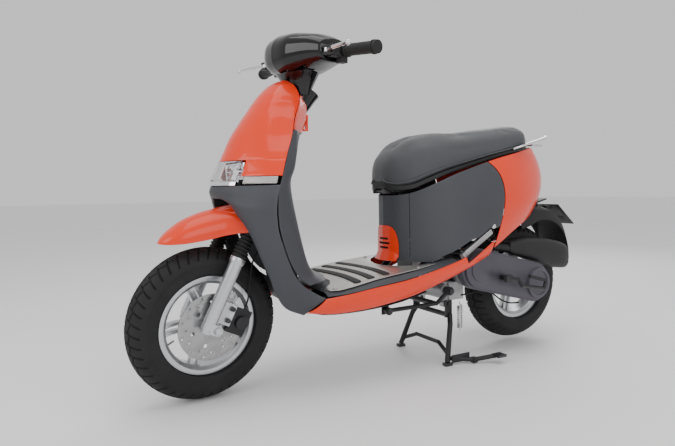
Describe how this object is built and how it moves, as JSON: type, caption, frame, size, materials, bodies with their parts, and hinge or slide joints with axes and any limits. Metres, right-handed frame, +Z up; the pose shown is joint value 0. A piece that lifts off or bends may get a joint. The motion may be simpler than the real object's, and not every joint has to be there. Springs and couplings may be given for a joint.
{
  "type": "moped scooter",
  "caption": "Step-through moped scooter with turning handlebar, telescopic fork, swinging engine unit, centre stand, lifting seat and folding footpegs.",
  "frame": {"origin": "on the ground under the middle of the scooter", "axes": "+X forward, +Y to the rider's left, +Z up"},
  "size_m": [1.7071, 0.6349, 1.0507],
  "materials": {
    "frame_black": "satin black",
    "body_orange": "glossy",
    "reflector": "mirror bright",
    "clear_lens": "clear",
    "signal_lens": "smoked clear",
    "body_grey": "satin",
    "black_plastic": "fine texture",
    "stainless": "brushed",
    "rubber": "matt",
    "zinc": "zinc plated",
    "red_lens": "clear red",
    "polished_alloy": "polished",
    "gloss_black": "glossy",
    "light_guide": "frosted",
    "silver_paint": "silver paint",
    "disc_steel": "ground",
    "tyre": "matt",
    "cast_alloy": "as cast",
    "cvt_grey": "satin dark grey",
    "seat_vinyl": "smooth vinyl"
  },
  "bodies": {
    "chassis": {"frame_front": "frame_black", "frame_rear": "frame_black", "engine_hanger": "frame_black", "front_apron": "body_orange", "headlight_unit": "reflector", "headlight_lens": "clear_lens", "turn_signals": "signal_lens", "leg_shield": "body_grey", "knee_panel": "body_grey", "inner_cover": "body_orange", "under_liner": "black_plastic", "floor_panel": "body_grey", "floor_plate": "stainless", "floor_strips": "rubber", "panel_screws": "zinc", "side_skirts": "body_orange", "side_cover_left": "body_grey", "side_cover_right": "body_grey", "column_cover": "body_grey", "vent_panel": "body_orange", "tail_cowl": "body_orange", "tail_light": "red_lens", "grab_rail": "polished_alloy", "rear_mudguard": "black_plastic", "storage_bucket": "black_plastic"},
    "bag_hook": {"bag_hook": "body_orange"},
    "steering": {"steering_stem": "frame_black", "handlebar": "frame_black", "headset_cover": "gloss_black", "light_strip": "light_guide", "control_housings": "black_plastic", "grip_left": "rubber", "front_fender": "body_orange", "fork_boots": "rubber", "brake_hose": "rubber"},
    "fork_lower": {"fork_lowers": "silver_paint", "front_axle": "zinc", "brake_caliper": "frame_black"},
    "front_wheel": {"front_tyre": "tyre", "front_rim": "silver_paint", "brake_disc": "disc_steel"},
    "throttle": {"throttle_grip": "rubber"},
    "lever_left": {"brake_lever_left": "polished_alloy"},
    "lever_right": {"brake_lever_right": "polished_alloy"},
    "swing_unit": {"engine_case": "cast_alloy", "cvt_cover": "cvt_grey", "airbox": "black_plastic", "exhaust": "frame_black", "rear_brake_cable": "rubber", "stand_spring": "zinc"},
    "rear_wheel": {"rear_tyre": "tyre", "rear_rim": "silver_paint"},
    "kick_starter": {"kick_lever": "frame_black"},
    "shock_upper": {"shock_upper": "frame_black", "shock_spring": "frame_black"},
    "shock_lower": {"shock_lower": "zinc"},
    "centre_stand": {"centre_stand": "frame_black"},
    "footpeg_left": {"footpeg_left": "cast_alloy"},
    "footpeg_right": {"footpeg_right": "cast_alloy"},
    "seat": {"seat": "seat_vinyl"}
  },
  "joints": [
    {"name": "steer", "type": "hinge", "parent": "chassis", "child": "steering", "pos_m": [0.43795, 0, 0.62808], "axis": [-0.4415, 0, 0.8973], "range_deg": [-36, 20]},
    {"name": "fork_travel", "type": "slide", "parent": "steering", "child": "fork_lower", "axis": [-0.4415, 0, 0.8973], "range_m": [0, 0.03], "stiffness_N_per_m": 12000, "springref_m": -0.03, "deforming": ["fork_boots", "brake_hose"]},
    {"name": "front_wheel_spin", "type": "hinge", "parent": "fork_lower", "child": "front_wheel", "pos_m": [0.63702, -0.0004, 0.21701], "axis": [-0.1249, 0.9903, -0.0614], "continuous": true},
    {"name": "throttle_twist", "type": "hinge", "parent": "steering", "child": "throttle", "pos_m": [0.32486, -0.24541, 0.99692], "axis": [0.0196, -0.9998, 0.0044], "range_deg": [0, 75], "stiffness_Nm_per_rad": 0.3, "springref_deg": -22.92},
    {"name": "brake_lever_left", "type": "hinge", "parent": "steering", "child": "lever_left", "pos_m": [0.32933, 0.18524, 0.96985], "axis": [-0.0039, 0.0614, 0.9981], "range_deg": [0, 14], "stiffness_Nm_per_rad": 2, "springref_deg": -8.59},
    {"name": "brake_lever_right", "type": "hinge", "parent": "steering", "child": "lever_right", "pos_m": [0.37329, -0.16333, 0.99148], "axis": [0.0039, -0.0614, -0.9981], "range_deg": [0, 14], "stiffness_Nm_per_rad": 2, "springref_deg": -8.59},
    {"name": "swing", "type": "hinge", "parent": "chassis", "child": "swing_unit", "pos_m": [-0.17, 0, 0.243], "axis": [0, 1, 0], "range_deg": [0, 3.6], "stiffness_Nm_per_rad": 900, "springref_deg": -6.88},
    {"name": "rear_wheel_spin", "type": "hinge", "parent": "swing_unit", "child": "rear_wheel", "pos_m": [-0.563, 0, 0.2315], "axis": [0, 1, 0], "continuous": true},
    {"name": "kick_start", "type": "hinge", "parent": "swing_unit", "child": "kick_starter", "pos_m": [-0.352, 0.18, 0.282], "axis": [0, -1, 0], "range_deg": [0, 34], "stiffness_Nm_per_rad": 3, "springref_deg": -17.19},
    {"name": "shock_pivot", "type": "hinge", "parent": "chassis", "child": "shock_upper", "pos_m": [-0.338, 0.07, 0.545], "axis": [0, 1, 0], "range_deg": [-2.2, 0.2]},
    {"name": "shock_travel", "type": "slide", "parent": "shock_upper", "child": "shock_lower", "axis": [0.2949, 0, 0.9555], "range_m": [0, 0.028], "deforming": ["shock_spring"]},
    {"name": "stand_fold", "type": "hinge", "parent": "swing_unit", "child": "centre_stand", "pos_m": [-0.178, 0, 0.196], "axis": [0, 1, 0], "range_deg": [0, 50], "deforming": ["stand_spring"]},
    {"name": "footpeg_left_fold", "type": "hinge", "parent": "chassis", "child": "footpeg_left", "pos_m": [-0.182, 0.158, 0.371], "axis": [-0.515, 0, -0.8572], "range_deg": [0, 80]},
    {"name": "footpeg_right_fold", "type": "hinge", "parent": "chassis", "child": "footpeg_right", "pos_m": [-0.182, -0.158, 0.371], "axis": [0.515, 0, 0.8572], "range_deg": [0, 80]},
    {"name": "seat_lid", "type": "hinge", "parent": "chassis", "child": "seat", "pos_m": [0.038, 0, 0.583], "axis": [0, 1, 0], "range_deg": [0, 70]},
    {"name": "bag_hook_fold", "type": "hinge", "parent": "chassis", "child": "bag_hook", "pos_m": [0.316, 0, 0.812], "axis": [0, 1, 0], "range_deg": [0, 55]}
  ],
  "couplings": [
    {"joint": "shock_pivot", "follows": "swing", "ratio": -0.30521},
    {"joint": "shock_travel", "follows": "swing", "m_per_rad": 0.24958}
  ]
}
